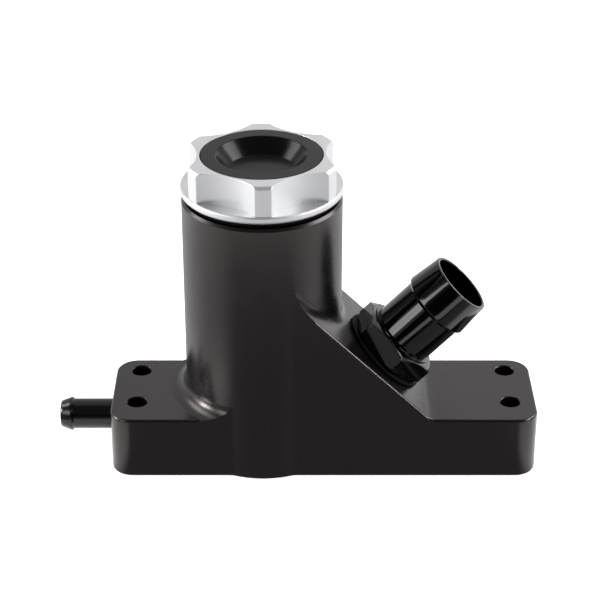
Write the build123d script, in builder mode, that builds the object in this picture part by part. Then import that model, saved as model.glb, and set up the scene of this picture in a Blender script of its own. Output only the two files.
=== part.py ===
"""Oil catch can for an engine bay: a billet housing with a screw cap and two hose barbs, in millimetres.

The origin is the centre of the bolt pattern on the underside, with X along the base and Z up.
"""

import os
from math import cos, hypot, radians, sin, sqrt, tan

from build123d import *

os.makedirs("parts", exist_ok=True)

# Base block with its four bolt holes
bolt_spacing_x = 126.0
bolt_spacing_y = 21.0
bolt_end_distance = 8.7
base_height = 22.0
base_corner_radius = 7.2
base_edge_radius = 0.7
bolt_hole_radius = 3.3
bolt_hole_chamfer = 0.3

# Neck: the round tower over the chamber, which bulges past the base's long faces
neck_x = -20.4
neck_y = 1.8
neck_radius = 26.4
neck_front_bulge = 2.1
neck_back_bulge = 9.9
neck_height = 93.2
neck_rim_chamfer = 0.8
neck_blend_radius = 5.5

# Sloped shoulder beside the neck, with the breather port square to it
slope_angle = 44.0
port_to_neck = 14.2
port_to_slope_foot = 15.4

# Chamber inside the neck, and the cap's thread above it
neck_wall = 6.9
thread_shoulder = 1.5
thread_depth = 1.2
thread_bore_depth = 16.0
thread_clearance = 0.1

# Baffle plate and the snap ring under it
baffle_seat_height = 6.4
baffle_seat_width = 0.7
baffle_thickness = 1.5
baffle_clearance = 0.1
baffle_hole_radius = 1.9
baffle_hole_inset = 5.5
snap_ring_thickness = 1.2
snap_ring_width = 2.0
snap_groove_depth = 0.8
snap_ring_gap = 9.0

# Seal in the underside
base_seal_inset = 3.4
base_seal_section = 1.3
base_seal_groove_depth = 2.1
seal_side_clearance = 0.1

# Breather port
stub_shoulder = 1.55
stub_lead_chamfer = 1.0
stub_clearance = 0.05
stub_bore_depth = 13.0
mesh_shoulder = 2.55
mesh_clearance = 0.1
mesh_depth = 6.2
screen_thickness = 0.8
screen_hole_radius = 1.2
screen_hole_rings = 2
screen_rim = 2.2
passage_shoulder = 1.4
passage_overrun = 1.6
drill_half_angle = 59.0

# Breather fitting: hexagon and hose barb
washer_thickness = 1.2
washer_edge_radius = 0.4
hex_across_flats = 27.0
hex_height = 7.7
hex_chamfer_angle = 30.0
hex_face_inset = 0.2
collar_width = 1.1
collar_height = 0.6
stub_wall = 1.95
barb_wall = 1.2
barb_head_step = 1.05
barb_mouth_taper = 1.1
barb_step_start = 23.8
barb_head_start = 25.0
barb_length = 36.4
barb_lip_radius = 0.35

# Return barb, pressed into the left end
return_y = 0.0
return_z = 11.0
return_tube_radius = 5.2
return_bore_radius = 3.4
return_head_radius = 5.75
return_tip_radius = 4.6
return_step_start = 14.1
return_head_start = 14.6
return_taper_start = 15.2
return_length = 18.7
return_tip_edge = 0.4
return_press_depth = 11.0
return_clearance = 0.05
return_passage_radius = 3.0

# Cap: grip ring
flange_overhang = 0.3
flange_gap = 1.9
flange_thickness = 2.6
flange_bottom_chamfer = 0.7
flange_top_chamfer = 0.4
grip_inset = 0.7
grip_height = 12.8
grip_edge_chamfer = 0.9
lobe_count = 6
lobe_width = 5.1
lobe_turn = 2.0
scoop_land = 0.9
ledge_height = 5.0
ledge_clearance = 0.1

# Cap: core with the dished top and the threaded plug
core_ledge_width = 1.8
core_gap = 0.25
core_top_drop = 0.1
dish_rim_width = 4.8
dish_wall_width = 4.4
dish_depth = 4.8
plug_length = 10.1
plug_lead_chamfer = 1.2
plug_wall = 4.3
plug_hollow_depth = 14.0
core_ring_thickness = 1.1
core_ring_width = 2.2
core_ring_groove_depth = 1.1

# Cap: seal under the flange
cap_seal_inset = 2.7
cap_seal_section = 1.4
cap_seal_groove_depth = 0.7

# Sizes that follow from others
base_length = bolt_spacing_x + 2 * bolt_end_distance
base_front_y = neck_y - neck_radius + neck_front_bulge
base_back_y = neck_y + neck_radius - neck_back_bulge
base_depth = base_back_y - base_front_y
base_centre_y = (base_front_y + base_back_y) / 2
base_left_x = -base_length / 2
port_x = neck_x + neck_radius + port_to_neck
slope_foot_x = port_x + port_to_slope_foot
chamber_radius = neck_radius - neck_wall
thread_major_radius = chamber_radius - thread_shoulder
thread_minor_radius = thread_major_radius - thread_depth
baffle_radius = chamber_radius + baffle_seat_width
baffle_outer_ring = chamber_radius - baffle_hole_inset
baffle_inner_ring = baffle_outer_ring / 2
base_seal_radius = neck_radius - base_seal_inset
cap_seal_radius = neck_radius - cap_seal_inset
flange_radius = neck_radius + flange_overhang
grip_radius = flange_radius - grip_inset
core_radius = thread_major_radius + core_ledge_width
dish_radius = core_radius - dish_rim_width
dish_floor_radius = dish_radius - dish_wall_width
plug_hollow_radius = thread_minor_radius - plug_wall
hex_corner_radius = hex_across_flats / sqrt(3)
washer_radius = hex_corner_radius
stub_radius = hex_across_flats / 2 - stub_shoulder
mesh_radius = stub_radius - mesh_shoulder
passage_radius = mesh_radius - passage_shoulder
screen_hole_spacing = (mesh_radius - screen_rim) / screen_hole_rings
barb_bore_radius = stub_radius - stub_wall
barb_tube_radius = barb_bore_radius + barb_wall
barb_head_radius = barb_tube_radius + barb_head_step
barb_mouth_radius = barb_head_radius - barb_mouth_taper
collar_radius = barb_tube_radius + collar_width

# Planes and heights that several pieces share
neck_axis = Axis((neck_x, neck_y, 0), (0, 0, 1))
neck_profile = Plane(origin=(neck_x, neck_y, 0), x_dir=(1, 0, 0), z_dir=(0, -1, 0))
neck_plane = Plane(origin=(neck_x, neck_y, 0), x_dir=(1, 0, 0), z_dir=(0, 0, 1))
slope_rise = tan(radians(slope_angle))
slope_top_z = base_height + (slope_foot_x - neck_x) * slope_rise
slope_normal = Vector(sin(radians(slope_angle)), 0, cos(radians(slope_angle)))
slope_down = Vector(cos(radians(slope_angle)), 0, -sin(radians(slope_angle)))
port_centre = Vector(port_x, base_centre_y, base_height + (slope_foot_x - port_x) * slope_rise)
port_plane = Plane(origin=port_centre, x_dir=slope_down, z_dir=slope_normal)
port_profile = Plane(origin=port_centre, x_dir=slope_down, z_dir=(0, -1, 0))
port_axis = Axis(port_centre, slope_normal)
return_centre = Vector(base_left_x, return_y, return_z)
return_profile = Plane(origin=return_centre, x_dir=(-1, 0, 0), z_dir=(0, 1, 0))
return_axis = Axis(return_centre, (-1, 0, 0))
return_plane = Plane(origin=return_centre, x_dir=(0, 1, 0), z_dir=(-1, 0, 0))
chamber_roof_z = neck_height - thread_bore_depth
thread_bore_radius = thread_major_radius + thread_clearance
baffle_bore_radius = baffle_radius + baffle_clearance
snap_groove_radius = baffle_bore_radius + snap_groove_depth
snap_groove_top = baffle_seat_height - baffle_thickness
snap_groove_bottom = snap_groove_top - snap_ring_thickness
stub_bore_radius = stub_radius + stub_clearance
mesh_bore_radius = mesh_radius + mesh_clearance
mesh_bore_depth = stub_bore_depth + mesh_depth + screen_thickness
passage_depth = (port_x - neck_x - chamber_radius) / sin(radians(slope_angle)) + passage_overrun
flange_z = neck_height + flange_gap
ledge_z = flange_z + ledge_height
core_top_z = flange_z + grip_height - core_top_drop


def seal_ring(profile, ring_radius, section_radius, low, high):
    """Sketch one side of a round seal squeezed flat between two faces, on a plane through its axis."""
    with BuildSketch(profile) as section:
        with Locations((ring_radius, (low + high) / 2)):
            Circle(section_radius)
            Rectangle(2 * section_radius, high - low, mode=Mode.INTERSECT)
    return section.sketch


def perforations(spacing, rings):
    """List the centres of a round pattern of holes: one in the middle and six more in each ring out."""
    centres = [(0.0, 0.0)]
    for ring in range(1, rings + 1):
        for place in PolarLocations(ring * spacing, 6 * ring):
            centres.append((place.position.X, place.position.Y))
    return centres


# Housing: base, shoulder and neck in one piece, blended where they meet
with BuildPart() as housing:
    with BuildSketch(Plane.XY):
        with Locations((0, base_centre_y)):
            RectangleRounded(base_length, base_depth, base_corner_radius)
    extrude(amount=base_height)
    with BuildSketch(Plane.XZ.offset(-base_back_y)):
        with BuildLine():
            Polyline(
                (neck_x, 0),
                (slope_foot_x, 0),
                (slope_foot_x, base_height),
                (neck_x, slope_top_z),
                close=True,
            )
        make_face()
    extrude(amount=base_depth)
    with BuildSketch(neck_plane.rotated((0, 0, 60))):
        Circle(neck_radius)
    extrude(amount=neck_height)

    # Concave blends round the neck and along the foot of the slope
    joints = housing.edges().filter_by(GeomType.ELLIPSE)
    joints += housing.edges().filter_by(GeomType.CIRCLE).filter_by(
        lambda e: abs(e.radius - neck_radius) < 0.01 and abs(e.center().Z - base_height) < 0.01
    )
    joints += housing.edges().filter_by(Axis.Z).filter_by(
        lambda e: abs(abs(e.center().Y - base_centre_y) - base_depth / 2) < 0.01
        and abs(hypot(e.center().X - neck_x, e.center().Y - neck_y) - neck_radius) < 0.01
    )
    joints += housing.edges().filter_by(Axis.Y).filter_by(
        lambda e: abs(e.center().X - slope_foot_x) < 0.01
    )
    fillet(joints, radius=neck_blend_radius)
    fillet(housing.faces().sort_by(Axis.Z)[0].edges(), radius=base_edge_radius)

    # Bolt holes, broken at both ends
    with Locations((0, 0, base_height)):
        with GridLocations(bolt_spacing_x, bolt_spacing_y, 2, 2):
            Hole(bolt_hole_radius)
    chamfer(
        housing.edges().filter_by(GeomType.CIRCLE).filter_by(
            lambda e: abs(e.radius - bolt_hole_radius) < 0.01
        ),
        length=bolt_hole_chamfer,
    )
    chamfer(
        housing.faces().sort_by(Axis.Z)[-1].edges(),
        length=neck_rim_chamfer,
    )

    # Chamber, baffle seat, snap ring groove and the bore for the cap's thread
    with BuildSketch(neck_profile):
        with BuildLine():
            Polyline(
                (0, 0),
                (baffle_bore_radius, 0),
                (baffle_bore_radius, snap_groove_bottom),
                (snap_groove_radius, snap_groove_bottom),
                (snap_groove_radius, snap_groove_top),
                (baffle_bore_radius, snap_groove_top),
                (baffle_bore_radius, baffle_seat_height),
                (chamber_radius, baffle_seat_height),
                (chamber_radius, chamber_roof_z),
                (thread_bore_radius, chamber_roof_z),
                (thread_bore_radius, neck_height),
                (0, neck_height),
                close=True,
            )
        make_face()
    revolve(axis=neck_axis, mode=Mode.SUBTRACT)
    with BuildSketch(neck_plane):
        Circle(base_seal_radius + base_seal_section + seal_side_clearance)
        Circle(base_seal_radius - base_seal_section - seal_side_clearance, mode=Mode.SUBTRACT)
    extrude(amount=base_seal_groove_depth, mode=Mode.SUBTRACT)

    # Breather port, drilled square to the slope into the chamber
    with BuildSketch(port_profile):
        with BuildLine():
            Polyline(
                (0, 0),
                (stub_bore_radius, 0),
                (stub_bore_radius, -stub_bore_depth),
                (mesh_bore_radius, -stub_bore_depth),
                (mesh_bore_radius, -mesh_bore_depth),
                (passage_radius, -mesh_bore_depth),
                (passage_radius, -passage_depth),
                (0, -passage_depth - passage_radius / tan(radians(drill_half_angle))),
                close=True,
            )
        make_face()
    revolve(axis=port_axis, mode=Mode.SUBTRACT)

    # Return port, drilled from the left end into the chamber
    with BuildSketch(return_plane):
        Circle(return_tube_radius + return_clearance)
    extrude(amount=-return_press_depth, mode=Mode.SUBTRACT)
    with BuildSketch(return_plane):
        Circle(return_passage_radius)
    extrude(amount=base_left_x - neck_x, mode=Mode.SUBTRACT)
housing.part.label = "housing"
export_step(housing.part, "parts/housing.step")

# Seal in the groove round the chamber's mouth, squeezed flush with the underside
with BuildPart() as base_o_ring:
    add(seal_ring(neck_profile, base_seal_radius, base_seal_section, 0, base_seal_groove_depth))
    revolve(axis=neck_axis)
base_o_ring.part.label = "base_o_ring"
export_step(base_o_ring.part, "parts/base_o_ring.step")

# Perforated baffle plate on its seat over the chamber's mouth
with BuildPart() as baffle_plate:
    with BuildSketch(neck_plane.offset(snap_groove_top)):
        Circle(baffle_radius)
        Circle(baffle_hole_radius, mode=Mode.SUBTRACT)
        with PolarLocations(baffle_inner_ring, 6):
            Circle(baffle_hole_radius, mode=Mode.SUBTRACT)
        with PolarLocations(baffle_outer_ring, 12):
            Circle(baffle_hole_radius, mode=Mode.SUBTRACT)
    extrude(amount=baffle_thickness)
baffle_plate.part.label = "baffle_plate"
export_step(baffle_plate.part, "parts/baffle_plate.step")

# Snap ring that holds the baffle plate up, with its ends open
with BuildPart() as baffle_snap_ring:
    with BuildSketch(neck_plane.offset(snap_groove_bottom)):
        Circle(snap_groove_radius)
        Circle(snap_groove_radius - snap_ring_width, mode=Mode.SUBTRACT)
        with Locations((snap_groove_radius, 0)):
            Rectangle(4 * snap_ring_width, snap_ring_gap, mode=Mode.SUBTRACT)
    extrude(amount=snap_ring_thickness)
baffle_snap_ring.part.label = "baffle_snap_ring"
export_step(baffle_snap_ring.part, "parts/baffle_snap_ring.step")

# Inner screen at the bottom of the mesh bore
with BuildPart() as mesh_screen_inner:
    with BuildSketch(port_plane.offset(-mesh_bore_depth)):
        Circle(mesh_radius)
        with Locations(*perforations(screen_hole_spacing, screen_hole_rings)):
            Circle(screen_hole_radius, mode=Mode.SUBTRACT)
    extrude(amount=screen_thickness)
mesh_screen_inner.part.label = "mesh_screen_inner"
export_step(mesh_screen_inner.part, "parts/mesh_screen_inner.step")

# Knitted wire mesh pad between the two screens
with BuildPart() as separator_mesh:
    with BuildSketch(port_plane.offset(-stub_bore_depth)):
        Circle(mesh_radius)
    extrude(amount=-mesh_depth)
separator_mesh.part.label = "separator_mesh"
export_step(separator_mesh.part, "parts/separator_mesh.step")

# Outer screen on the shoulder of the stub bore, held by the fitting's end
with BuildPart() as mesh_screen_outer:
    with BuildSketch(port_plane.offset(-stub_bore_depth)):
        Circle(stub_radius)
        with Locations(*perforations(screen_hole_spacing, screen_hole_rings)):
            Circle(screen_hole_radius, mode=Mode.SUBTRACT)
    extrude(amount=screen_thickness)
mesh_screen_outer.part.label = "mesh_screen_outer"
export_step(mesh_screen_outer.part, "parts/mesh_screen_outer.step")

# Sealing washer on the slope
with BuildPart() as breather_washer:
    with BuildSketch(port_plane):
        Circle(washer_radius)
        Circle(stub_bore_radius, mode=Mode.SUBTRACT)
    extrude(amount=washer_thickness)
    fillet(
        breather_washer.edges().filter_by(GeomType.CIRCLE).filter_by(
            lambda e: abs(e.radius - washer_radius) < 0.01
        ),
        radius=washer_edge_radius,
    )
breather_washer.part.label = "breather_washer"
export_step(breather_washer.part, "parts/breather_washer.step")

# Breather fitting: threaded stub, hexagon and hose barb
hex_base = washer_thickness
hex_top = hex_base + hex_height
stub_end = screen_thickness - stub_bore_depth
hex_face_radius = hex_across_flats / 2 - hex_face_inset
hex_chamfer_height = (hex_corner_radius - hex_face_radius) * tan(radians(hex_chamfer_angle))
with BuildPart() as breather_fitting:
    with BuildSketch(port_plane.offset(hex_base)):
        RegularPolygon(hex_across_flats / 2, 6, major_radius=False, rotation=30)
    extrude(amount=hex_height)
    with BuildSketch(port_profile):
        with BuildLine():
            Polyline(
                (0, hex_base),
                (hex_face_radius, hex_base),
                (hex_corner_radius, hex_base + hex_chamfer_height),
                (hex_corner_radius, hex_top - hex_chamfer_height),
                (hex_face_radius, hex_top),
                (0, hex_top),
                close=True,
            )
        make_face()
    revolve(axis=port_axis, mode=Mode.INTERSECT)
    with BuildSketch(port_profile):
        with BuildLine():
            Polyline(
                (0, stub_end),
                (stub_radius - stub_lead_chamfer, stub_end),
                (stub_radius, stub_end + stub_lead_chamfer),
                (stub_radius, hex_top),
                (collar_radius, hex_top),
                (collar_radius, hex_top + collar_height),
                (barb_tube_radius, hex_top + collar_height),
                (barb_tube_radius, barb_step_start),
                (barb_head_radius, barb_head_start),
                (barb_mouth_radius, barb_length),
                (0, barb_length),
                close=True,
            )
        make_face()
    revolve(axis=port_axis)
    with BuildSketch(port_plane.offset(barb_length)):
        Circle(barb_bore_radius)
    extrude(amount=stub_end - barb_length, mode=Mode.SUBTRACT)
    fillet(breather_fitting.edges().group_by(Axis(port_centre, slope_normal))[-1], radius=barb_lip_radius)
breather_fitting.part.label = "breather_fitting"
export_step(breather_fitting.part, "parts/breather_fitting.step")

# Return barb: plain tube pressed into the end face, with one barb at its tip
with BuildPart() as return_barb:
    with BuildSketch(return_profile):
        with BuildLine():
            Polyline(
                (-return_press_depth, return_bore_radius),
                (return_length, return_bore_radius),
                (return_length, return_tip_radius - return_tip_edge),
                (return_length - return_tip_edge, return_tip_radius),
                (return_taper_start, return_head_radius),
                (return_head_start, return_head_radius),
                (return_step_start, return_tube_radius),
                (-return_press_depth, return_tube_radius),
                close=True,
            )
        make_face()
    revolve(axis=return_axis)
return_barb.part.label = "return_barb"
export_step(return_barb.part, "parts/return_barb.step")

# Grip ring: a round flange with six lobes left between vertical scoops
ring_bore_radius = core_radius + core_gap
ledge_bore_radius = thread_major_radius + ledge_clearance
grip_top = flange_z + grip_height
flange_top = flange_z + flange_thickness
land_radius = ring_bore_radius + scoop_land
lobe_edge_x = grip_radius * cos(radians(180 / lobe_count)) + lobe_width / 2 * sin(radians(180 / lobe_count))
lobe_edge_y = grip_radius * sin(radians(180 / lobe_count)) - lobe_width / 2 * cos(radians(180 / lobe_count))
scoop_centre = (lobe_edge_x**2 + lobe_edge_y**2 - land_radius**2) / (2 * (lobe_edge_x - land_radius))
with BuildPart() as cap_grip_ring:
    with BuildSketch(neck_profile):
        with BuildLine():
            Polyline(
                (ledge_bore_radius, flange_z),
                (flange_radius - flange_bottom_chamfer, flange_z),
                (flange_radius, flange_z + flange_bottom_chamfer),
                (flange_radius, flange_top - flange_top_chamfer),
                (flange_radius - flange_top_chamfer, flange_top),
                (ledge_bore_radius, flange_top),
                close=True,
            )
        make_face()
    revolve(axis=neck_axis)
    with BuildSketch(neck_plane.rotated((0, 0, lobe_turn)).offset(flange_top)):
        RegularPolygon(grip_radius, lobe_count, major_radius=False, rotation=0)
        with PolarLocations(scoop_centre, lobe_count):
            Circle(scoop_centre - land_radius, mode=Mode.SUBTRACT)
    extrude(amount=grip_top - flange_top)
    with BuildSketch(neck_profile):
        with BuildLine():
            Polyline(
                (0, flange_z),
                (flange_radius, flange_z),
                (flange_radius, flange_top),
                (grip_radius, flange_top),
                (grip_radius, grip_top - grip_edge_chamfer),
                (grip_radius - grip_edge_chamfer, grip_top),
                (0, grip_top),
                close=True,
            )
        make_face()
    revolve(axis=neck_axis, mode=Mode.INTERSECT)
    with BuildSketch(neck_plane.offset(grip_top)):
        Circle(ring_bore_radius)
    extrude(amount=ledge_z - grip_top, mode=Mode.SUBTRACT)
    with BuildSketch(neck_plane.offset(ledge_z)):
        Circle(ledge_bore_radius)
    extrude(amount=flange_z - ledge_z, mode=Mode.SUBTRACT)
    with BuildSketch(neck_plane.offset(flange_z)):
        Circle(cap_seal_radius + cap_seal_section + seal_side_clearance)
        Circle(cap_seal_radius - cap_seal_section - seal_side_clearance, mode=Mode.SUBTRACT)
    extrude(amount=cap_seal_groove_depth, mode=Mode.SUBTRACT)
cap_grip_ring.part.label = "cap_grip_ring"
export_step(cap_grip_ring.part, "parts/cap_grip_ring.step")

# Core: dished top seated on the ring's ledge, and the plug that screws into the neck
core_ring_top = flange_z
core_ring_bottom = core_ring_top - core_ring_thickness
plug_bottom = neck_height - plug_length
with BuildPart() as cap_core:
    with BuildSketch(neck_profile):
        with BuildLine():
            Polyline(
                (0, core_top_z - dish_depth),
                (dish_floor_radius, core_top_z - dish_depth),
                (dish_radius, core_top_z),
                (core_radius, core_top_z),
                (core_radius, ledge_z),
                (thread_major_radius, ledge_z),
                (thread_major_radius, core_ring_top),
                (thread_major_radius - core_ring_groove_depth, core_ring_top),
                (thread_major_radius - core_ring_groove_depth, core_ring_bottom),
                (thread_minor_radius, core_ring_bottom),
                (thread_minor_radius, plug_bottom + plug_lead_chamfer),
                (thread_minor_radius - plug_lead_chamfer, plug_bottom),
                (plug_hollow_radius, plug_bottom),
                (plug_hollow_radius, plug_bottom + plug_hollow_depth),
                (0, plug_bottom + plug_hollow_depth),
                close=True,
            )
        make_face()
    revolve(axis=neck_axis)
cap_core.part.label = "cap_core"
export_step(cap_core.part, "parts/cap_core.step")

# Snap ring in the core's groove, under the grip ring's ledge
with BuildPart() as cap_snap_ring:
    with BuildSketch(neck_plane.offset(core_ring_bottom)):
        Circle(thread_major_radius - core_ring_groove_depth + core_ring_width)
        Circle(thread_major_radius - core_ring_groove_depth, mode=Mode.SUBTRACT)
        with Locations((-thread_major_radius, 0)):
            Rectangle(4 * core_ring_width, snap_ring_gap, mode=Mode.SUBTRACT)
    extrude(amount=core_ring_thickness)
cap_snap_ring.part.label = "cap_snap_ring"
export_step(cap_snap_ring.part, "parts/cap_snap_ring.step")

# Seal between the neck's rim and the groove under the flange
with BuildPart() as cap_o_ring:
    add(
        seal_ring(
            neck_profile,
            cap_seal_radius,
            cap_seal_section,
            neck_height,
            flange_z + cap_seal_groove_depth,
        )
    )
    revolve(axis=neck_axis)
cap_o_ring.part.label = "cap_o_ring"
export_step(cap_o_ring.part, "parts/cap_o_ring.step")
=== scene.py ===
"""Looks of an oil catch can for an engine bay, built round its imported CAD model.

Every length is in metres, in the CAD model's own frame: X along the base, Y away from the camera, Z up.
"""

import logging
import math
from dataclasses import dataclass
from enum import Enum

import bmesh
import bpy
from mathutils import Matrix, Vector

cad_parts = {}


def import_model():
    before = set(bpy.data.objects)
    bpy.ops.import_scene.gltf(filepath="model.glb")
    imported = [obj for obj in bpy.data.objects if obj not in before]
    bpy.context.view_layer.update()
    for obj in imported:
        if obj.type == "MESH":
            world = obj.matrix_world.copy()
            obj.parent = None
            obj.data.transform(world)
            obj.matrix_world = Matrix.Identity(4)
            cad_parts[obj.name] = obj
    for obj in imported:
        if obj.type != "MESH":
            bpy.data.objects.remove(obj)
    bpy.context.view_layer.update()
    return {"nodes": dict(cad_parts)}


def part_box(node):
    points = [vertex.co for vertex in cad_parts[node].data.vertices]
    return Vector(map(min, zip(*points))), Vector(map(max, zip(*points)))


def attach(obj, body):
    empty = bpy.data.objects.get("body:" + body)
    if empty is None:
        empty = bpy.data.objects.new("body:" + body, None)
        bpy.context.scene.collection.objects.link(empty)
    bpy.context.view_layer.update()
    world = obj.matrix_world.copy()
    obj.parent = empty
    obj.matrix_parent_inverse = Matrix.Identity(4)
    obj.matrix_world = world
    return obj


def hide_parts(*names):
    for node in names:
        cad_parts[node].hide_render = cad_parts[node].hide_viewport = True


LOG = logging.getLogger("catch_can")
MM = 0.001

# The neck's upright axis, which the cap and both threads share
NECK_AXIS = (-20.4 * MM, 1.8 * MM)
# Points of a CAD copy that are nearer than this are one point, and a grown mesh is welded finer
WELD = 0.001 * MM
GROWN_WELD = 0.0005 * MM
# Faces that turn less than this many degrees are one flat face
FLAT_TURN = 0.05
# A rounded edge keeps this many radii clear of a tight corner, and needs this many to be rounded beyond it
CORNER_ROOM = 1.5
LEAST_LENGTH = 4.0


class Body(Enum):
    """The rigid bodies that the scene's own pieces ride on."""

    BASE = "base"
    CAP = "cap"


def linear(hex_colour: str) -> tuple[float, float, float, float]:
    """Turns an sRGB hex colour into linear light.

    Args:
        hex_colour: The colour as "#rrggbb".

    Returns:
        Red, green, blue and an alpha of 1, in linear light.
    """
    channels = [int(hex_colour[i : i + 2], 16) / 255 for i in (1, 3, 5)]
    light = [c / 12.92 if c <= 0.04045 else ((c + 0.055) / 1.055) ** 2.4 for c in channels]
    return light[0], light[1], light[2], 1.0


def add_node(tree: bpy.types.NodeTree, kind: str, inputs: dict | None = None, **settings) -> bpy.types.Node:
    """Adds one node to a tree, sets it up and links what feeds it.

    Args:
        tree: The material's, world's or geometry's node tree.
        kind: Blender's name for the node's type.
        inputs: A value or an output socket for each input, by name or number.
        **settings: The node's own properties.

    Returns:
        The new node.
    """
    made = tree.nodes.new(kind)
    for name, value in settings.items():
        setattr(made, name, value)
    for key, value in (inputs or {}).items():
        if isinstance(value, bpy.types.NodeSocket):
            tree.links.new(value, made.inputs[key])
        else:
            made.inputs[key].default_value = value
    return made


@dataclass(frozen=True)
class Finish:
    """A surface with a fine grain: a colour that drifts a little, a roughness that drifts with it, and a bump."""

    name: str
    dark: str
    light: str
    metallic: float
    roughness: float
    roughness_drift: float
    drift_size: float
    grain_size: float
    grain_height: float
    ior: float = 1.5
    tint: str = "#ffffff"

    def material(self) -> bpy.types.Material:
        """Makes the material, unless it was made before.

        Returns:
            The material.
        """
        found = bpy.data.materials.get(self.name)
        if found:
            return found
        made = bpy.data.materials.new(self.name)
        made.use_nodes = True
        tree = made.node_tree
        tree.nodes.clear()
        place = add_node(tree, "ShaderNodeTexCoord").outputs["Object"]
        drift = add_node(
            tree,
            "ShaderNodeTexNoise",
            {"Vector": place, "Scale": 1 / self.drift_size, "Detail": 3.0, "Roughness": 0.6},
        ).outputs["Fac"]
        colour = add_node(
            tree, "ShaderNodeMix", {"Factor": drift, 6: linear(self.dark), 7: linear(self.light)}, data_type="RGBA"
        )
        rough = add_node(
            tree,
            "ShaderNodeMapRange",
            {
                "Value": drift,
                "From Min": 0.3,
                "From Max": 0.7,
                "To Min": self.roughness - self.roughness_drift,
                "To Max": self.roughness + self.roughness_drift,
            },
        ).outputs["Result"]
        height = self.relief(tree, place)
        bump = add_node(
            tree, "ShaderNodeBump", {"Height": height, "Strength": 1.0, "Distance": self.grain_height}
        ).outputs["Normal"]
        surface = add_node(
            tree,
            "ShaderNodeBsdfPrincipled",
            {
                "Base Color": colour.outputs[2],
                "Metallic": self.metallic,
                "Roughness": rough,
                "Normal": bump,
                "Specular Tint": linear(self.tint),
            },
        )
        if self.metallic < 0.5:
            surface.inputs["IOR"].default_value = self.ior
        add_node(tree, "ShaderNodeOutputMaterial", {"Surface": surface.outputs["BSDF"]})
        return made

    def relief(self, tree: bpy.types.NodeTree, place: bpy.types.NodeSocket) -> bpy.types.NodeSocket:
        """Adds the surface's grain.

        Args:
            tree: The material's node tree.
            place: Object coordinates in metres.

        Returns:
            The height, from 0 to 1.
        """
        return add_node(
            tree, "ShaderNodeTexNoise", {"Vector": place, "Scale": 1 / self.grain_size, "Detail": 2.0}
        ).outputs["Fac"]


@dataclass(frozen=True)
class Turned(Finish):
    """A finish with the fine rings that a lathe tool leaves about an upright axis."""

    axis: tuple[float, float] = NECK_AXIS
    ring_pitch: float = 0.5 * MM

    def relief(self, tree: bpy.types.NodeTree, place: bpy.types.NodeSocket) -> bpy.types.NodeSocket:
        """Adds the tool's rings, broken up by a little grain.

        Args:
            tree: The material's node tree.
            place: Object coordinates in metres.

        Returns:
            The height, from 0 to 1.
        """
        centred = add_node(
            tree, "ShaderNodeMapping", {"Vector": place, "Location": (-self.axis[0], -self.axis[1], 0.0)}
        ).outputs["Vector"]
        rings = add_node(
            tree,
            "ShaderNodeTexWave",
            {"Vector": centred, "Scale": math.tau / 20 / self.ring_pitch, "Distortion": 0.3, "Detail Scale": 2.0},
            wave_type="RINGS",
            rings_direction="Z",
        ).outputs["Fac"]
        grain = super().relief(tree, place)
        return add_node(
            tree, "ShaderNodeMath", {0: rings, 1: grain}, operation="MULTIPLY"
        ).outputs["Value"]


# Bead-blasted and anodised black: an even satin skin with a faint warm tint and no tool marks
HOUSING_ANODISED = Finish(
    "blasted_black_anodised",
    dark="#050404",
    light="#080707",
    metallic=0.0,
    roughness=0.27,
    roughness_drift=0.03,
    drift_size=9 * MM,
    grain_size=0.35 * MM,
    grain_height=0.004 * MM,
    tint="#fff4f4",
)
# Turned, then anodised black: the same dye over finer lathe rings
CORE_ANODISED = Turned(
    "turned_black_anodised",
    dark="#060606",
    light="#090909",
    metallic=0.0,
    roughness=0.2,
    roughness_drift=0.03,
    drift_size=6 * MM,
    grain_size=0.3 * MM,
    grain_height=0.002 * MM,
    ior=1.25,
)
# Fine-turned and clear anodised: pale silver under a faintly milky film that spreads its reflections softly
RING_ANODISED = Turned(
    "satin_clear_anodised",
    dark="#c6c6c8",
    light="#cecfd0",
    metallic=0.8,
    roughness=0.44,
    roughness_drift=0.03,
    drift_size=7 * MM,
    grain_size=0.3 * MM,
    grain_height=0.003 * MM,
)
# Polished before it was anodised black: sharp dark reflections with light lines at the edges
FITTING_ANODISED = Finish(
    "bright_black_anodised",
    dark="#010101",
    light="#020202",
    metallic=0.0,
    roughness=0.09,
    roughness_drift=0.02,
    drift_size=8 * MM,
    grain_size=0.6 * MM,
    grain_height=0.002 * MM,
)
# The small barb is turned, with a duller black
BARB_ANODISED = Finish(
    "plain_black_anodised",
    dark="#030303",
    light="#060606",
    metallic=0.0,
    roughness=0.2,
    roughness_drift=0.03,
    drift_size=5 * MM,
    grain_size=0.4 * MM,
    grain_height=0.003 * MM,
    ior=1.4,
)
# Moulded nitrile rubber: dull, very slightly bloomed
NITRILE = Finish(
    "moulded_nitrile_rubber",
    dark="#020202",
    light="#060606",
    metallic=0.0,
    roughness=0.6,
    roughness_drift=0.06,
    drift_size=4 * MM,
    grain_size=0.25 * MM,
    grain_height=0.01 * MM,
    ior=1.2,
)
# Pickled stainless sheet, pierced and flat
STAINLESS_SHEET = Finish(
    "pickled_stainless_sheet",
    dark="#8f8d89",
    light="#a5a39e",
    metallic=1.0,
    roughness=0.33,
    roughness_drift=0.06,
    drift_size=5 * MM,
    grain_size=0.2 * MM,
    grain_height=0.004 * MM,
)
# Hardened spring steel, darkened by oil
SPRING_STEEL = Finish(
    "oiled_spring_steel",
    dark="#4b4744",
    light="#625d58",
    metallic=1.0,
    roughness=0.3,
    roughness_drift=0.05,
    drift_size=3 * MM,
    grain_size=0.2 * MM,
    grain_height=0.004 * MM,
)
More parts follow.
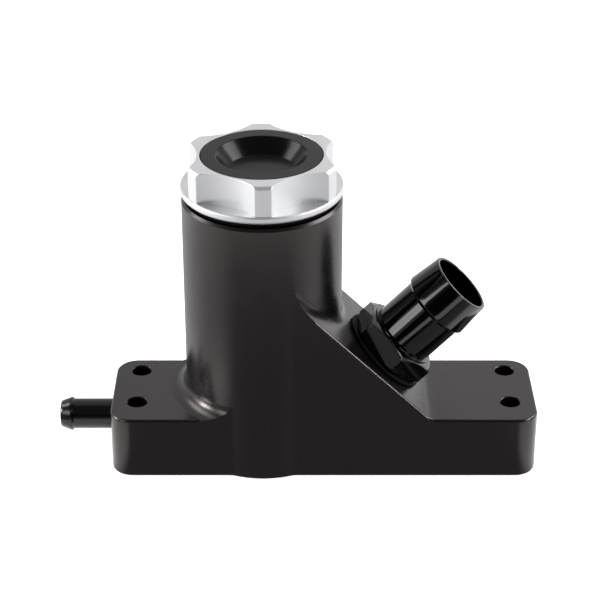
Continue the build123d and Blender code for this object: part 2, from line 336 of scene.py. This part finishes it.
# Drawn stainless wire, brighter than the sheet
STAINLESS_WIRE = Finish(
    "drawn_stainless_wire",
    dark="#a3a19c",
    light="#b9b7b2",
    metallic=1.0,
    roughness=0.25,
    roughness_drift=0.04,
    drift_size=2 * MM,
    grain_size=0.2 * MM,
    grain_height=0.002 * MM,
)


def dress(piece: bpy.types.Object, finish: Finish) -> None:
    """Gives every material slot of a piece the same finish.

    Args:
        piece: A CAD node or a piece of the scene's own.
        finish: What its surface is.
    """
    if not piece.material_slots:
        piece.data.materials.append(finish.material())
    for place in piece.material_slots:
        place.material = finish.material()


def mesh_copy(node: bpy.types.Object, name: str) -> bmesh.types.BMesh:
    """Copies a CAD node's triangles into one joined mesh.

    Args:
        node: The CAD node.
        name: What the copy is for, as the log says it.

    Returns:
        The joined mesh, with flat runs made whole again.
    """
    shape = bmesh.new()
    shape.from_mesh(node.data)
    bmesh.ops.remove_doubles(shape, verts=shape.verts, dist=WELD)
    bmesh.ops.dissolve_limit(
        shape,
        angle_limit=math.radians(FLAT_TURN),
        verts=shape.verts,
        edges=shape.edges,
        use_dissolve_boundaries=False,
    )
    LOG.info("copied %s: %d faces", name, len(shape.faces))
    return shape


def make_piece(name: str, shape: bmesh.types.BMesh, finish: Finish, smooth_angle: float = 35.0) -> bpy.types.Object:
    """Turns a mesh into a finished piece at the origin.

    Args:
        name: The piece's name.
        shape: Its mesh, which is freed.
        finish: What its surface is.
        smooth_angle: Edges sharper than this many degrees stay crisp.

    Returns:
        The new piece, linked into the scene.
    """
    mesh = bpy.data.meshes.new(name)
    bmesh.ops.dissolve_degenerate(shape, dist=WELD, edges=shape.edges)
    for face in shape.faces:
        face.smooth = True
    for edge in shape.edges:
        if len(edge.link_faces) == 2:
            edge.smooth = edge.calc_face_angle(0.0) < math.radians(smooth_angle)
    shape.to_mesh(mesh)
    shape.free()
    piece = bpy.data.objects.new(name, mesh)
    bpy.context.scene.collection.objects.link(piece)
    level = piece.modifiers.new("flat_faces_stay_flat", "WEIGHTED_NORMAL")
    level.keep_sharp = True
    level.weight = 100
    dress(piece, finish)
    return piece


def round_edges(shape: bmesh.types.BMesh, edges: list[bmesh.types.BMEdge], radius: float, steps: int) -> int:
    """Rounds edges, and leaves sharp those that meet a feature too small for the radius.

    Args:
        shape: The mesh that the edges are in.
        edges: The edges to round.
        radius: The rounding's radius.
        steps: How many strips of faces it gets.

    Returns:
        How many edges were rounded.
    """
    kept = set(edges)
    tight = {
        corner
        for edge in edges
        for corner in edge.verts
        if any(other not in kept and other.calc_length() < CORNER_ROOM * radius for other in corner.link_edges)
    }
    for edge in edges:
        crowded = [corner for corner in edge.verts if corner in tight]
        if not crowded:
            continue
        kept.discard(edge)
        if len(crowded) == 1 and edge.calc_length() > LEAST_LENGTH * radius:
            fresh, _ = bmesh.utils.edge_split(edge, crowded[0], CORNER_ROOM * radius / edge.calc_length())
            kept.update(half for half in (edge, fresh) if crowded[0] not in half.verts)
    bmesh.ops.bevel(
        shape,
        geom=list(kept),
        offset=radius,
        offset_type="OFFSET",
        segments=steps,
        profile=0.5,
        affect="EDGES",
        clamp_overlap=False,
    )
    return len(kept)


def ease_node(
    node: bpy.types.Object,
    name: str,
    finish: Finish,
    body: Body,
    radius: float,
    steps: int = 2,
    least_turn: float = 30.0,
) -> bpy.types.Object:
    """Copies a CAD node and takes the sharpness off its outer edges.

    Args:
        node: The CAD node that the piece stands for.
        name: The piece's name.
        finish: What its surface is.
        body: The body it rides on.
        radius: The radius of the eased edges.
        steps: How many strips of faces each eased edge gets.
        least_turn: Edges that turn less than this many degrees are left alone.

    Returns:
        The new piece.
    """
    shape = mesh_copy(node, name)
    sharp = [
        edge
        for edge in shape.edges
        if len(edge.link_faces) == 2 and edge.is_convex and edge.calc_face_angle(0.0) > math.radians(least_turn)
    ]
    LOG.info("%s: eased %d of %d edges", name, round_edges(shape, sharp, radius, steps), len(sharp))
    piece = make_piece(name, shape, finish)
    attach(piece, body.value)
    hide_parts(node.name)
    return piece


def start_growth(name: str, sizes: list[str]) -> tuple[bpy.types.NodeTree, bpy.types.Node]:
    """Starts a geometry tree with one named input for each size.

    Args:
        name: The tree's name.
        sizes: The names of its inputs.

    Returns:
        The tree and its input node.
    """
    tree = bpy.data.node_groups.new(name, "GeometryNodeTree")
    for size in sizes:
        tree.interface.new_socket(name=size, in_out="INPUT", socket_type="NodeSocketFloat")
    tree.interface.new_socket(name="Geometry", in_out="OUTPUT", socket_type="NodeSocketGeometry")
    return tree, add_node(tree, "NodeGroupInput")


def end_growth(tree: bpy.types.NodeTree, shape: bpy.types.NodeSocket, finish: Finish) -> None:
    """Ends a geometry tree in real geometry with its finish.

    Args:
        tree: The tree.
        shape: The geometry so far.
        finish: What its surface is.
    """
    real = add_node(tree, "GeometryNodeRealizeInstances", {"Geometry": shape}).outputs["Geometry"]
    done = add_node(
        tree, "GeometryNodeSetMaterial", {"Geometry": real, "Material": finish.material()}
    ).outputs["Geometry"]
    add_node(tree, "NodeGroupOutput", {"Geometry": done})


def grow(name: str, tree: bpy.types.NodeTree, sizes: dict[str, float], place: Matrix) -> bpy.types.Object:
    """Runs a geometry tree and keeps what it makes as a plain mesh.

    Args:
        name: The piece's name.
        tree: The geometry tree.
        sizes: A value for each of its named inputs.
        place: Where the result goes.

    Returns:
        The new piece, at the origin, with its place in its mesh.
    """
    piece = bpy.data.objects.new(name, bpy.data.meshes.new(name))
    bpy.context.scene.collection.objects.link(piece)
    growth = piece.modifiers.new("growth", "NODES")
    growth.node_group = tree
    for item in tree.interface.items_tree:
        if item.in_out == "INPUT":
            growth[item.identifier] = sizes[item.name]
    graph = bpy.context.evaluated_depsgraph_get()
    mesh = bpy.data.meshes.new_from_object(piece.evaluated_get(graph))
    piece.modifiers.remove(growth)
    piece.data = mesh
    mesh.transform(place)
    shape = bmesh.new()
    shape.from_mesh(mesh)
    bmesh.ops.remove_doubles(shape, verts=shape.verts, dist=GROWN_WELD)
    bmesh.ops.recalc_face_normals(shape, faces=shape.faces)
    shape.to_mesh(mesh)
    shape.free()
    LOG.info("grew %s: %d faces", name, len(mesh.polygons))
    return piece


@dataclass
class Thread:
    """A right-hand helical ridge on a plug or in a bore."""

    name: str
    root_radius: float
    crest_radius: float
    low_z: float
    high_z: float
    pitch: float = 4.0 * MM
    root_width: float = 2.6 * MM
    crest_width: float = 1.0 * MM
    turn_points: float = 72.0
    runout: float = 0.08
    runout_scale: float = 0.3
    axis: tuple[float, float] = NECK_AXIS

    def build(self, finish: Finish, body: Body, slot: str) -> bpy.types.Object:
        """Grows the ridge along its helix.

        Args:
            finish: What its surface is.
            body: The body it rides on.
            slot: The name of a material slot. It is not used.

        Returns:
            The new piece.
        """
        tree, given = start_growth(
            self.name, ["Turns", "Points", "Helix Radius", "Rise", "Root Width", "Crest Width", "Depth"]
        )
        helix = add_node(
            tree,
            "GeometryNodeCurveSpiral",
            {
                "Resolution": given.outputs["Points"],
                "Rotations": given.outputs["Turns"],
                "Start Radius": given.outputs["Helix Radius"],
                "End Radius": given.outputs["Helix Radius"],
                "Height": given.outputs["Rise"],
                "Reverse": True,
            },
        ).outputs["Curve"]
        upright = add_node(tree, "GeometryNodeSetCurveNormal", {"Curve": helix}, mode="Z_UP").outputs["Curve"]
        section = add_node(
            tree,
            "GeometryNodeCurvePrimitiveQuadrilateral",
            {
                "Height": given.outputs["Depth"],
                "Bottom Width": given.outputs["Root Width"],
                "Top Width": given.outputs["Crest Width"],
                "Offset": 0.0,
            },
            mode="TRAPEZOID",
        ).outputs["Curve"]
        depth = self.crest_radius - self.root_radius
        quarter = math.copysign(math.radians(90), -depth)
        turned = add_node(
            tree, "GeometryNodeTransform", {"Geometry": section, "Rotation": (0.0, 0.0, quarter)}
        ).outputs["Geometry"]
        along = add_node(tree, "GeometryNodeSplineParameter").outputs["Factor"]
        from_start, to_end = (
            add_node(
                tree,
                "ShaderNodeMapRange",
                {"Value": along, "From Min": tip, "From Max": full, "To Min": self.runout_scale},
            ).outputs["Result"]
            for tip, full in ((0.0, self.runout), (1.0, 1.0 - self.runout))
        )
        runout = add_node(
            tree, "ShaderNodeMath", {0: from_start, 1: to_end}, operation="MULTIPLY"
        ).outputs["Value"]
        ridge = add_node(
            tree,
            "GeometryNodeCurveToMesh",
            {"Curve": upright, "Profile Curve": turned, "Scale": runout, "Fill Caps": True},
        ).outputs["Mesh"]
        end_growth(tree, ridge, finish)
        turns = (self.high_z - self.low_z) / self.pitch
        piece = grow(
            self.name,
            tree,
            {
                "Turns": turns,
                "Points": self.turn_points,
                "Helix Radius": (self.root_radius + self.crest_radius) / 2,
                "Rise": self.high_z - self.low_z,
                "Root Width": self.root_width,
                "Crest Width": self.crest_width,
                "Depth": abs(depth),
            },
            Matrix.Translation((*self.axis, self.low_z)),
        )
        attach(piece, body.value)
        return piece


@dataclass
class KnittedPad:
    """The pad of knitted wire that catches oil mist: layers of looped wire, each turned from the one below."""

    radius: float = 9.4 * MM
    depth: float = 7.0 * MM
    slope_angle: float = 44.0
    wire_radius: float = 0.11 * MM
    row_pitch: float = 1.1 * MM
    layer_pitch: float = 0.95 * MM
    loop_length: float = 2.2 * MM
    loop_height: float = 0.75 * MM
    loop_bulge: float = 0.35 * MM
    loop_lift: float = 0.2 * MM
    layer_turn: float = 60.0
    wire_points: int = 66
    wire_sides: int = 5

    def build(self, node: bpy.types.Object) -> bpy.types.Object:
        """Grows the pad and sets it where the CAD pad is.

        Args:
            node: The CAD pad.

        Returns:
            The piece that stands for it.
        """
        tree, given = start_growth("knitted_pad", ["Reach", "Row Pitch", "Layer Pitch", "Loop Length", "Wire Radius"])
        rows = int(2 * (self.radius - self.loop_height) / self.row_pitch)
        layers = int((self.depth - 2 * self.loop_lift) / self.layer_pitch)
        starts = add_node(tree, "GeometryNodeMeshLine", {"Count": rows * layers}).outputs["Mesh"]
        index = add_node(tree, "GeometryNodeInputIndex").outputs["Index"]
        row = add_node(tree, "ShaderNodeMath", {0: index, 1: float(rows)}, operation="MODULO").outputs["Value"]
        level = add_node(tree, "ShaderNodeMath", {0: index, 1: float(rows)}, operation="DIVIDE").outputs["Value"]
        layer = add_node(tree, "ShaderNodeMath", {0: level}, operation="FLOOR").outputs["Value"]
        row_offset = add_node(
            tree, "ShaderNodeMath", {0: row, 1: (rows - 1) / 2}, operation="SUBTRACT"
        ).outputs["Value"]
        layer_offset = add_node(
            tree, "ShaderNodeMath", {0: layer, 1: (layers - 1) / 2}, operation="SUBTRACT"
        ).outputs["Value"]
        across = add_node(
            tree, "ShaderNodeMath", {0: row_offset, 1: given.outputs["Row Pitch"]}, operation="MULTIPLY"
        ).outputs["Value"]
        up = add_node(
            tree, "ShaderNodeMath", {0: layer_offset, 1: given.outputs["Layer Pitch"]}, operation="MULTIPLY"
        ).outputs["Value"]
        reach_squared = add_node(
            tree, "ShaderNodeMath", {0: given.outputs["Reach"], 1: 2.0}, operation="POWER"
        ).outputs["Value"]
        across_squared = add_node(tree, "ShaderNodeMath", {0: across, 1: across}, operation="MULTIPLY").outputs["Value"]
        half_squared = add_node(
            tree, "ShaderNodeMath", {0: reach_squared, 1: across_squared}, operation="SUBTRACT"
        ).outputs["Value"]
        half = add_node(tree, "ShaderNodeMath", {0: half_squared}, operation="SQRT").outputs["Value"]
        placed = add_node(
            tree,
            "GeometryNodeSetPosition",
            {
                "Geometry": starts,
                "Position": add_node(tree, "ShaderNodeCombineXYZ", {"Y": across, "Z": up}).outputs["Vector"],
            },
        ).outputs["Geometry"]
        labelled = add_node(
            tree,
            "GeometryNodeStoreNamedAttribute",
            {"Geometry": placed, "Name": "layer", "Value": layer},
            data_type="FLOAT",
            domain="POINT",
        ).outputs["Geometry"]
        run = add_node(
            tree, "GeometryNodeCurvePrimitiveLine", {"Start": (-1.0, 0.0, 0.0), "End": (1.0, 0.0, 0.0)}
        ).outputs["Curve"]
        divided = add_node(
            tree, "GeometryNodeResampleCurve", {"Curve": run, "Count": self.wire_points}
        ).outputs["Curve"]
        wires = add_node(
            tree,
            "GeometryNodeInstanceOnPoints",
            {
                "Points": labelled,
                "Instance": divided,
                "Scale": add_node(tree, "ShaderNodeCombineXYZ", {"X": half, "Y": 1.0, "Z": 1.0}).outputs["Vector"],
            },
        ).outputs["Instances"]
        real = add_node(tree, "GeometryNodeRealizeInstances", {"Geometry": wires}).outputs["Geometry"]
        place = add_node(tree, "GeometryNodeInputPosition").outputs["Position"]
        along = add_node(tree, "ShaderNodeSeparateXYZ", {"Vector": place}).outputs["X"]
        turns = add_node(
            tree, "ShaderNodeMath", {0: along, 1: given.outputs["Loop Length"]}, operation="DIVIDE"
        ).outputs["Value"]
        phase = add_node(tree, "ShaderNodeMath", {0: turns, 1: math.tau}, operation="MULTIPLY").outputs["Value"]
        double = add_node(tree, "ShaderNodeMath", {0: phase, 1: 2.0}, operation="MULTIPLY").outputs["Value"]
        bulge = add_node(tree, "ShaderNodeMath", {0: double}, operation="SINE").outputs["Value"]
        swing = add_node(tree, "ShaderNodeMath", {0: phase}, operation="COSINE").outputs["Value"]
        lift = add_node(tree, "ShaderNodeMath", {0: double}, operation="COSINE").outputs["Value"]
        loop = add_node(tree, "ShaderNodeCombineXYZ", {"X": bulge, "Y": swing, "Z": lift}).outputs["Vector"]
        sized = add_node(
            tree,
            "ShaderNodeVectorMath",
            {0: loop, 1: (self.loop_bulge, self.loop_height, self.loop_lift)},
            operation="MULTIPLY",
        ).outputs["Vector"]
        looped = add_node(tree, "GeometryNodeSetPosition", {"Geometry": real, "Offset": sized}).outputs["Geometry"]
        label = add_node(
            tree, "GeometryNodeInputNamedAttribute", {"Name": "layer"}, data_type="FLOAT"
        ).outputs["Attribute"]
        angle = add_node(
            tree, "ShaderNodeMath", {0: label, 1: math.radians(self.layer_turn)}, operation="MULTIPLY"
        ).outputs["Value"]
        turned = add_node(
            tree, "ShaderNodeVectorRotate", {"Vector": place, "Angle": angle}, rotation_type="Z_AXIS"
        ).outputs["Vector"]
        layered = add_node(
            tree, "GeometryNodeSetPosition", {"Geometry": looped, "Position": turned}
        ).outputs["Geometry"]
        section = add_node(
            tree,
            "GeometryNodeCurvePrimitiveCircle",
            {"Resolution": self.wire_sides, "Radius": given.outputs["Wire Radius"]},
        ).outputs["Curve"]
        wire = add_node(
            tree, "GeometryNodeCurveToMesh", {"Curve": layered, "Profile Curve": section, "Fill Caps": True}
        ).outputs["Mesh"]
        end_growth(tree, wire, STAINLESS_WIRE)
        low, high = (Vector(corner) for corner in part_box(node.name))
        piece = grow(
            "knitted_pad",
            tree,
            {
                "Reach": self.radius - self.loop_height - self.wire_radius,
                "Row Pitch": self.row_pitch,
                "Layer Pitch": self.layer_pitch,
                "Loop Length": self.loop_length,
                "Wire Radius": self.wire_radius,
            },
            Matrix.Translation((low + high) / 2) @ Matrix.Rotation(math.radians(self.slope_angle), 4, "Y"),
        )
        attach(piece, Body.BASE.value)
        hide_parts(node.name)
        return piece


@dataclass
class Housing:
    """The billet body, whose outer top edges get the small rounding that the cutter leaves."""

    half_length: float = 71.7 * MM
    front_y: float = -22.5 * MM
    back_y: float = 18.3 * MM
    corner_radius: float = 7.2 * MM
    top_z: float = 22.0 * MM
    edge_radius: float = 0.9 * MM
    edge_steps: int = 3
    least_turn: float = 80.0
    outline_slack: float = 0.03 * MM
    top_slack: float = 0.05 * MM

    def outline_gap(self, point: Vector) -> float:
        """Measures how far a point is from the base's outline, seen from above.

        Args:
            point: A point in the frame.

        Returns:
            The distance in metres, negative inside the outline.
        """
        half_depth = (self.back_y - self.front_y) / 2
        middle_y = (self.back_y + self.front_y) / 2
        across = abs(point.x) - self.half_length + self.corner_radius
        along = abs(point.y - middle_y) - half_depth + self.corner_radius
        outside = math.hypot(max(across, 0.0), max(along, 0.0))
        return outside + min(max(across, along), 0.0) - self.corner_radius

    def build(self, node: bpy.types.Object) -> bpy.types.Object:
        """Copies the housing and rounds its outer top edges.

        Args:
            node: The CAD housing.

        Returns:
            The piece that stands for it.
        """
        shape = mesh_copy(node, "housing")
        rim = [
            edge
            for edge in shape.edges
            if len(edge.link_faces) == 2
            and edge.calc_face_angle(0.0) > math.radians(self.least_turn)
            and edge.is_convex
            and all(abs(self.outline_gap(v.co)) < self.outline_slack for v in edge.verts)
            and all(v.co.z > self.top_z - self.top_slack for v in edge.verts)
        ]
        LOG.info("rounded %d of the housing's edges", round_edges(shape, rim, self.edge_radius, self.edge_steps))
        piece = make_piece("housing_body", shape, HOUSING_ANODISED)
        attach(piece, Body.BASE.value)
        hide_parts("housing")
        return piece

    def build_thread(self) -> bpy.types.Object:
        """Grows the thread in the neck's bore.

        Returns:
            The new piece.
        """
        thread = Thread(
            "bore_thread", root_radius=18.25 * MM, crest_radius=16.98 * MM, low_z=78.0 * MM, high_z=92.0 * MM
        )
        return thread.build(HOUSING_ANODISED, Body.BASE, "housing_black")


@dataclass
class Cap:
    """The screw cap: its dished core, its silver ring and its thread."""

    edge_radius: float = 0.25 * MM

    def build(self, nodes: dict[str, bpy.types.Object]) -> None:
        """Eases the cap's edges and grows its thread.

        Args:
            nodes: The CAD nodes by name.
        """
        ease_node(
            nodes["cap_grip_ring"], "grip_ring", RING_ANODISED, Body.CAP, self.edge_radius
        )
        ease_node(nodes["cap_core"], "core", CORE_ANODISED, Body.CAP, self.edge_radius)
        thread = Thread(
            "plug_thread", root_radius=16.65 * MM, crest_radius=17.9 * MM, low_z=84.0 * MM, high_z=92.0 * MM
        )
        thread.build(CORE_ANODISED, Body.CAP, "core_black")


@dataclass(frozen=True)
class Step:
    """A smooth step between two levels, along one measure of where a reflection looks."""

    along: str
    start: float
    end: float
    before: float
    after: float


# By direction. Behind the object, and no longer in front of it
BEHIND = (Step("Y", -0.05, 0.15, 0.0, 1.0),)
# The backdrop: light at the horizon, lightest where the base's top mirrors it, and dimmer to the left
BACKDROP = (
    Step("Z", 0.1, 0.38, 1.1, 0.7),
    Step("Z", 0.42, 0.5, 1.0, 1.42),
    Step("Z", 0.75, 1.0, 1.0, 0.85),
    Step("X", -0.11, -0.02, 0.8, 1.08),
)
# The room in front of the object: dim, and a little lighter higher up
ROOM = (Step("Z", 0.3, 0.45, 0.015, 0.12),)
# Looking well down, and what is seen there behind and in front: lighter to both sides
BELOW = (Step("Z", -0.42, -0.32, 1.0, 0.0),)
BACKDROP_BELOW = (Step("aside", 0.35, 0.8, 0.8, 1.1),)
ROOM_BELOW = (Step("aside", 0.5, 0.9, 0.36, 1.1),)
# By place on the floor, in metres. A band round the neck that glows only in reflections, a painted reflection, dimmer
# behind the object
FAR_BAND = (
    Step("reach", 0.208, 0.219, 0.0, 1.0),
    Step("reach", 0.4, 0.5, 1.0, 0.0),
    Step("Y", 0.1, 0.16, 1.0, 0.45),
)
# A painted reflection: a strip beyond each end of the base that glows only in reflections
END_CARDS = (
    Step("aside", 0.068, 0.078, 0.0, 1.0),
    Step("aside", 0.108, 0.118, 1.0, 0.0),
    Step("Y", -0.075, -0.045, 0.0, 1.0),
    Step("Y", 0.02, 0.05, 1.0, 0.0),
)


@dataclass(frozen=True)
class Lamp:
    """One soft rectangular lamp: its centre, what it faces, its width and height, and its power in watts."""

    name: str
    place: tuple[float, float, float]
    aim: tuple[float, float, float]
    size: tuple[float, float]
    power: float
    mirrored: bool = True


LAMPS = (
    # The streak on the neck's foot and the line down the base's left corner
    Lamp("key_left", place=(-0.62, -0.03, 0.18), aim=(-0.02, 0.0, 0.03), size=(0.1, 0.14), power=2.6),
    # The hexagon's front left flat
    Lamp("fill_left", place=(-0.50, -0.58, 0.22), aim=(0.0, 0.0, 0.06), size=(0.2, 0.2), power=0.06),
    # The dish's left wall
    Lamp("soft_left", place=(-0.60, 0.22, 0.54), aim=(-0.02, 0.0, 0.05), size=(0.26, 0.32), power=1.7),
    # The stripe along the large barb
    Lamp("bounce_left", place=(-0.56, -0.42, 0.33), aim=(0.0, 0.0, 0.05), size=(0.3, 0.28), power=1.4),
    # The line on the slope's front edge and down the base's right corner
    Lamp("key_right", place=(0.56, -0.21, 0.30), aim=(0.02, 0.0, 0.03), size=(0.2, 0.14), power=2.2),
    # The dish's right wall
    Lamp("soft_right", place=(0.60, 0.18, 0.52), aim=(0.02, 0.0, 0.05), size=(0.4, 0.36), power=3.4),
    # Light from above, which keeps the floor white and isn't mirrored
    Lamp("lamp_top", place=(0.0, 0.15, 0.9), aim=(0.0, 0.0, 0.04), size=(0.6, 0.6), power=1.5, mirrored=False),
)


def step_level(
    tree: bpy.types.NodeTree, measures: dict[str, bpy.types.NodeSocket], steps: tuple[Step, ...]
) -> bpy.types.NodeSocket:
    """Works out a level as the product of smooth steps.

    Args:
        tree: The world's or the floor's node tree.
        measures: The socket that gives each measure, by name.
        steps: The steps to multiply.

    Returns:
        The level.
    """
    level = None
    for step in steps:
        stepped = add_node(
            tree,
            "ShaderNodeMapRange",
            {
                "Value": measures[step.along],
                "From Min": step.start,
                "From Max": step.end,
                "To Min": step.before,
                "To Max": step.after,
            },
            interpolation_type="SMOOTHSTEP",
        ).outputs["Result"]
        if level is None:
            level = stepped
        else:
            level = add_node(tree, "ShaderNodeMath", {0: level, 1: stepped}, operation="MULTIPLY").outputs["Value"]
    return level


@dataclass
class Studio:
    """The pale floor, the soft lamps, the light surroundings and the camera."""

    camera_place: tuple[float, float, float] = (-0.008016, -0.549486, 0.349653)
    camera_tilt: float = 28.168
    lens: float = 111.794
    sensor: float = 36.0
    nearest: float = 0.01
    floor_half: float = 4.0
    soft_fill: float = 0.45
    floor_glow: float = 0.65
    floor_centre: tuple[float, float, float] = (*NECK_AXIS, 0.0)
    # How strongly the floor's painted reflection zones glow; only reflections see them
    far_floor: float = 1.75

    def build(self) -> None:
        """Makes everything that isn't part of the object."""
        bpy.context.scene.view_settings.view_transform = "Standard"
        self.make_camera()
        self.make_world()
        self.make_floor()
        for lamp in LAMPS:
            self.make_lamp(lamp)

    def make_camera(self) -> None:
        """Sets the camera where the photograph was taken from."""
        data = bpy.data.cameras.new("camera")
        data.sensor_width = self.sensor
        data.lens = self.lens
        data.clip_start = self.nearest
        camera = bpy.data.objects.new("camera", data)
        camera.location = self.camera_place
        camera.rotation_euler = (math.radians(90 - self.camera_tilt), 0.0, 0.0)
        bpy.context.scene.collection.objects.link(camera)
        bpy.context.scene.camera = camera

    def make_world(self) -> None:
        """Makes the surroundings: white to the camera, and a light backdrop in a dim room to reflections."""
        world = bpy.data.worlds.new("studio")
        bpy.context.scene.world = world
        world.use_nodes = True
        tree = world.node_tree
        tree.nodes.clear()
        way = add_node(tree, "ShaderNodeTexCoord").outputs["Generated"]
        parts = add_node(tree, "ShaderNodeSeparateXYZ", {"Vector": way})
        measures = {axis: parts.outputs[axis] for axis in ("X", "Y", "Z")}
        measures["aside"] = add_node(
            tree, "ShaderNodeMath", {0: parts.outputs["X"]}, operation="ABSOLUTE"
        ).outputs["Value"]
        behind = step_level(tree, measures, BEHIND)
        upper, lower = (
            add_node(
                tree,
                "ShaderNodeMix",
                {
                    "Factor": behind,
                    "A": step_level(tree, measures, ahead),
                    "B": step_level(tree, measures, beyond),
                },
                data_type="FLOAT",
            ).outputs["Result"]
            for ahead, beyond in ((ROOM, BACKDROP), (ROOM_BELOW, BACKDROP_BELOW))
        )
        under = step_level(tree, measures, BELOW)
        backdrop = add_node(
            tree, "ShaderNodeMix", {"Factor": under, "A": upper, "B": lower}, data_type="FLOAT"
        ).outputs["Result"]
        path = add_node(tree, "ShaderNodeLightPath")
        mirrored = add_node(
            tree,
            "ShaderNodeMath",
            {0: path.outputs["Is Glossy Ray"], 1: path.outputs["Is Transmission Ray"]},
            operation="MAXIMUM",
        ).outputs["Value"]
        soft = add_node(
            tree, "ShaderNodeMix", {"Factor": mirrored, "A": self.soft_fill, "B": backdrop}, data_type="FLOAT"
        ).outputs["Result"]
        seen = add_node(
            tree, "ShaderNodeMix", {"Factor": path.outputs["Is Camera Ray"], "A": soft, "B": 1.0}, data_type="FLOAT"
        ).outputs["Result"]
        light = add_node(tree, "ShaderNodeBackground", {"Color": linear("#ffffff"), "Strength": seen})
        add_node(tree, "ShaderNodeOutputWorld", {"Surface": light.outputs["Background"]})
        world.cycles.sampling_method = "NONE"

    def make_floor(self) -> None:
        """Makes the plain pale floor, which keeps the object's shadow. Reflections see glowing zones of it instead, a
        painted reflection, and see through it elsewhere.
        """
        grid = bmesh.new()
        bmesh.ops.create_grid(grid, x_segments=1, y_segments=1, size=self.floor_half)
        mesh = bpy.data.meshes.new("floor")
        grid.to_mesh(mesh)
        grid.free()
        floor = bpy.data.objects.new("floor", mesh)
        bpy.context.scene.collection.objects.link(floor)
        paper = bpy.data.materials.new("pale_paper_floor")
        paper.use_nodes = True
        tree = paper.node_tree
        tree.nodes.clear()
        path = add_node(tree, "ShaderNodeLightPath")
        matt = add_node(tree, "ShaderNodeBsdfDiffuse", {"Color": linear("#e6e6e6")})
        glow = add_node(tree, "ShaderNodeEmission", {"Color": linear("#ffffff"), "Strength": self.floor_glow})
        lit = add_node(tree, "ShaderNodeAddShader", {0: matt.outputs["BSDF"], 1: glow.outputs["Emission"]})
        seen = add_node(
            tree,
            "ShaderNodeMixShader",
            {0: path.outputs["Is Camera Ray"], 1: matt.outputs["BSDF"], 2: lit.outputs["Shader"]},
        )
        spot = add_node(tree, "ShaderNodeTexCoord").outputs["Object"]
        place = add_node(tree, "ShaderNodeSeparateXYZ", {"Vector": spot})
        reach = add_node(
            tree, "ShaderNodeVectorMath", {0: spot, 1: self.floor_centre}, operation="DISTANCE"
        ).outputs["Value"]
        aside = add_node(tree, "ShaderNodeMath", {0: place.outputs["X"]}, operation="ABSOLUTE").outputs["Value"]
        measures = {"reach": reach, "aside": aside, "Y": place.outputs["Y"]}
        far_band = step_level(tree, measures, FAR_BAND)
        end_cards = step_level(tree, measures, END_CARDS)
        bright = add_node(tree, "ShaderNodeMath", {0: far_band, 1: end_cards}, operation="MAXIMUM").outputs["Value"]
        # Painted reflection: in these zones the floor glows for reflections only, and elsewhere it is clear to them
        mirrored = add_node(
            tree,
            "ShaderNodeMixShader",
            {
                0: bright,
                1: add_node(tree, "ShaderNodeBsdfTransparent").outputs["BSDF"],
                2: add_node(tree, "ShaderNodeEmission", {"Strength": self.far_floor}).outputs["Emission"],
            },
        )
        paper_seen = add_node(
            tree,
            "ShaderNodeMixShader",
            {0: path.outputs["Is Glossy Ray"], 1: seen.outputs["Shader"], 2: mirrored.outputs["Shader"]},
        )
        add_node(tree, "ShaderNodeOutputMaterial", {"Surface": paper_seen.outputs["Shader"]})
        mesh.materials.append(paper)

    def make_lamp(self, lamp: Lamp) -> None:
        """Adds one lamp.

        Args:
            lamp: What the lamp is.
        """
        data = bpy.data.lights.new(lamp.name, "AREA")
        data.shape = "RECTANGLE"
        data.size, data.size_y = lamp.size
        data.energy = lamp.power
        made = bpy.data.objects.new(lamp.name, data)
        made.location = lamp.place
        made.rotation_euler = (Vector(lamp.aim) - Vector(lamp.place)).to_track_quat("-Z", "Y").to_euler()
        made.visible_glossy = lamp.mirrored
        bpy.context.scene.collection.objects.link(made)


def main() -> None:
    """Builds the scene."""
    logging.basicConfig(level=logging.INFO, format="%(name)s: %(message)s")
    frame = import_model()
    nodes = frame["nodes"]
    finishes = {
        "housing": HOUSING_ANODISED,
        "base_o_ring": NITRILE,
        "baffle_plate": STAINLESS_SHEET,
        "baffle_snap_ring": SPRING_STEEL,
        "mesh_screen_inner": STAINLESS_SHEET,
        "mesh_screen_outer": STAINLESS_SHEET,
        "separator_mesh": STAINLESS_WIRE,
        "breather_washer": NITRILE,
        "breather_fitting": FITTING_ANODISED,
        "return_barb": BARB_ANODISED,
        "cap_core": CORE_ANODISED,
        "cap_grip_ring": RING_ANODISED,
        "cap_snap_ring": SPRING_STEEL,
        "cap_o_ring": NITRILE,
    }
    for name, finish in finishes.items():
        dress(nodes[name], finish)
        LOG.info("dressed %s", name)
    housing = Housing()
    housing.build(nodes["housing"])
    housing.build_thread()
    Cap().build(nodes)
    ease_node(
        nodes["breather_fitting"], "hose_fitting", FITTING_ANODISED, Body.BASE, 0.2 * MM
    )
    ease_node(nodes["return_barb"], "hose_barb", BARB_ANODISED, Body.BASE, 0.15 * MM)
    KnittedPad().build(nodes["separator_mesh"])
    Studio().build()


if __name__ == "__main__":
    main()
